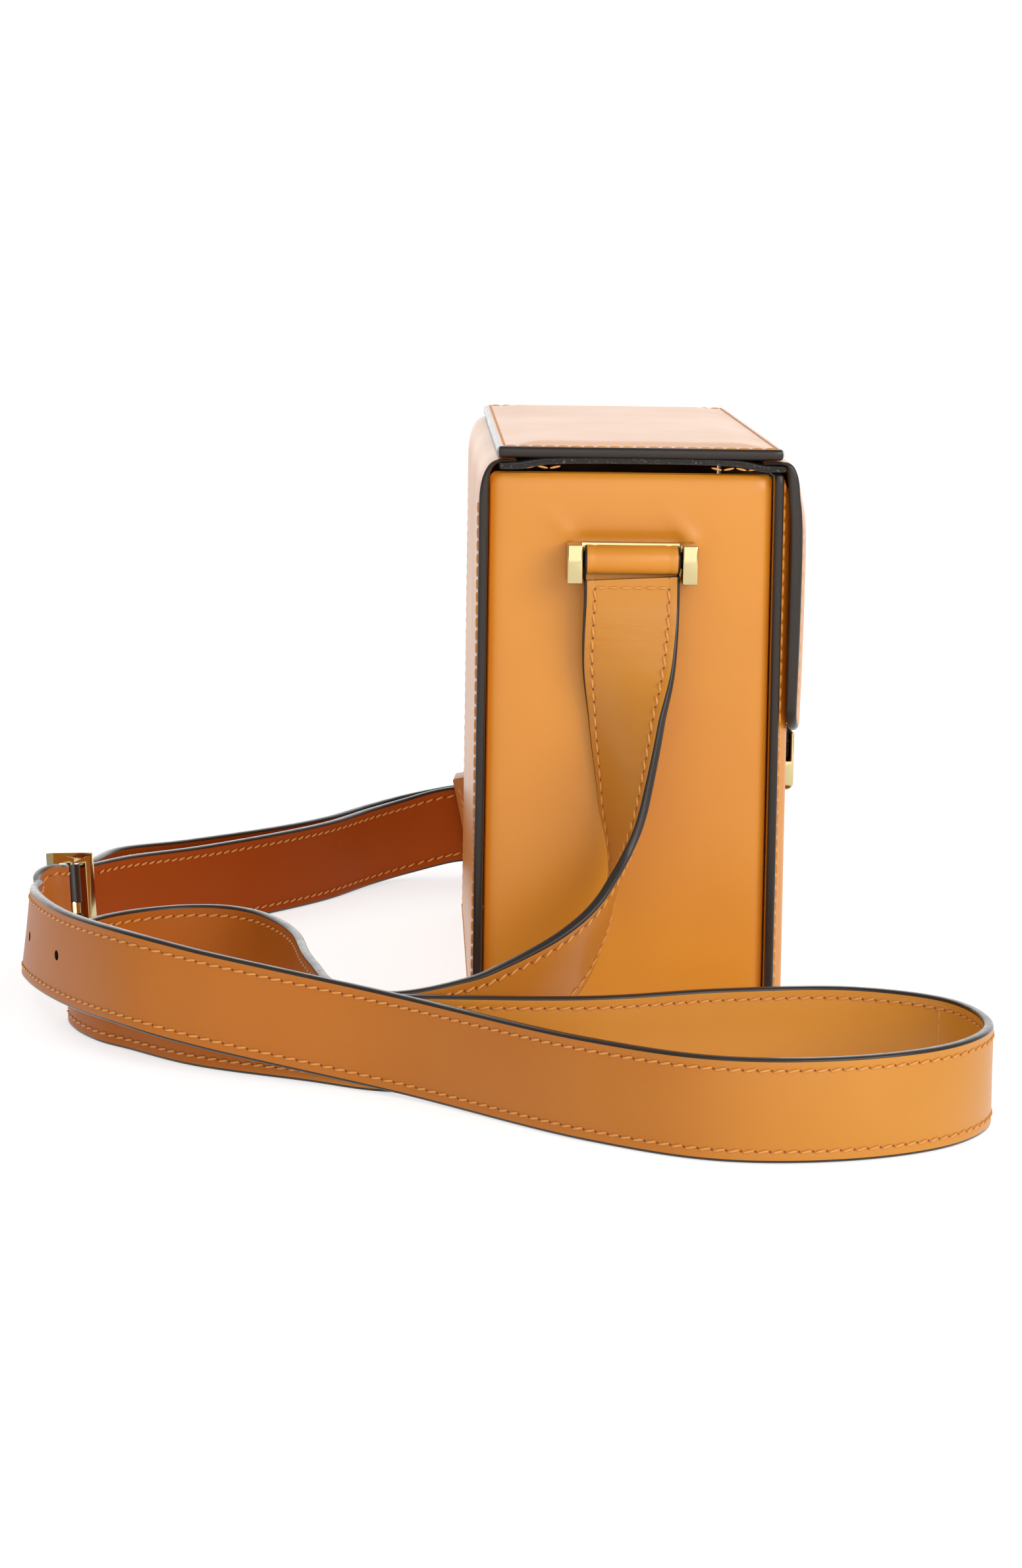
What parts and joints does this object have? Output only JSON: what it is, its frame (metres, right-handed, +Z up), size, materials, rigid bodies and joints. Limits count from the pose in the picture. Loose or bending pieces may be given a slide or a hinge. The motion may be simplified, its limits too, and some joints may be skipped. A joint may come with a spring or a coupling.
{
  "type": "box bag",
  "caption": "Stiff leather box bag with a hard lid, a front flap held by a hook clasp, side strap brackets and a long buckled shoulder strap lying round it.",
  "frame": {"origin": "centre of the base, on the surface that the bag stands on", "axes": "+X towards the front with the flap and clasp, -Y towards the side shown in the picture, +Z up"},
  "size_m": [0.2548, 0.3571, 0.1627],
  "materials": {
    "tan_leather": "smooth, soft gloss",
    "dark_leather": "matte",
    "gold_hardware": "polished"
  },
  "bodies": {
    "root": {"bottom_panel": "tan_leather", "front_panel": "tan_leather", "side_panel_near": "tan_leather", "side_panel_far": "tan_leather", "back_panel": "tan_leather", "lid_top": "tan_leather", "front_flap": "tan_leather", "strap_end_loop_near": "tan_leather", "strap_end_loop_far": "tan_leather", "strap_short": "tan_leather", "strap_long": "tan_leather", "strap_keeper": "tan_leather", "buckle_loop": "tan_leather", "lid_liner": "dark_leather", "clasp_tongue": "dark_leather", "clasp_hook": "gold_hardware", "bracket_near": "gold_hardware", "bracket_far": "gold_hardware", "buckle_frame": "gold_hardware", "buckle_prong": "gold_hardware"}
  },
  "joints": []
}
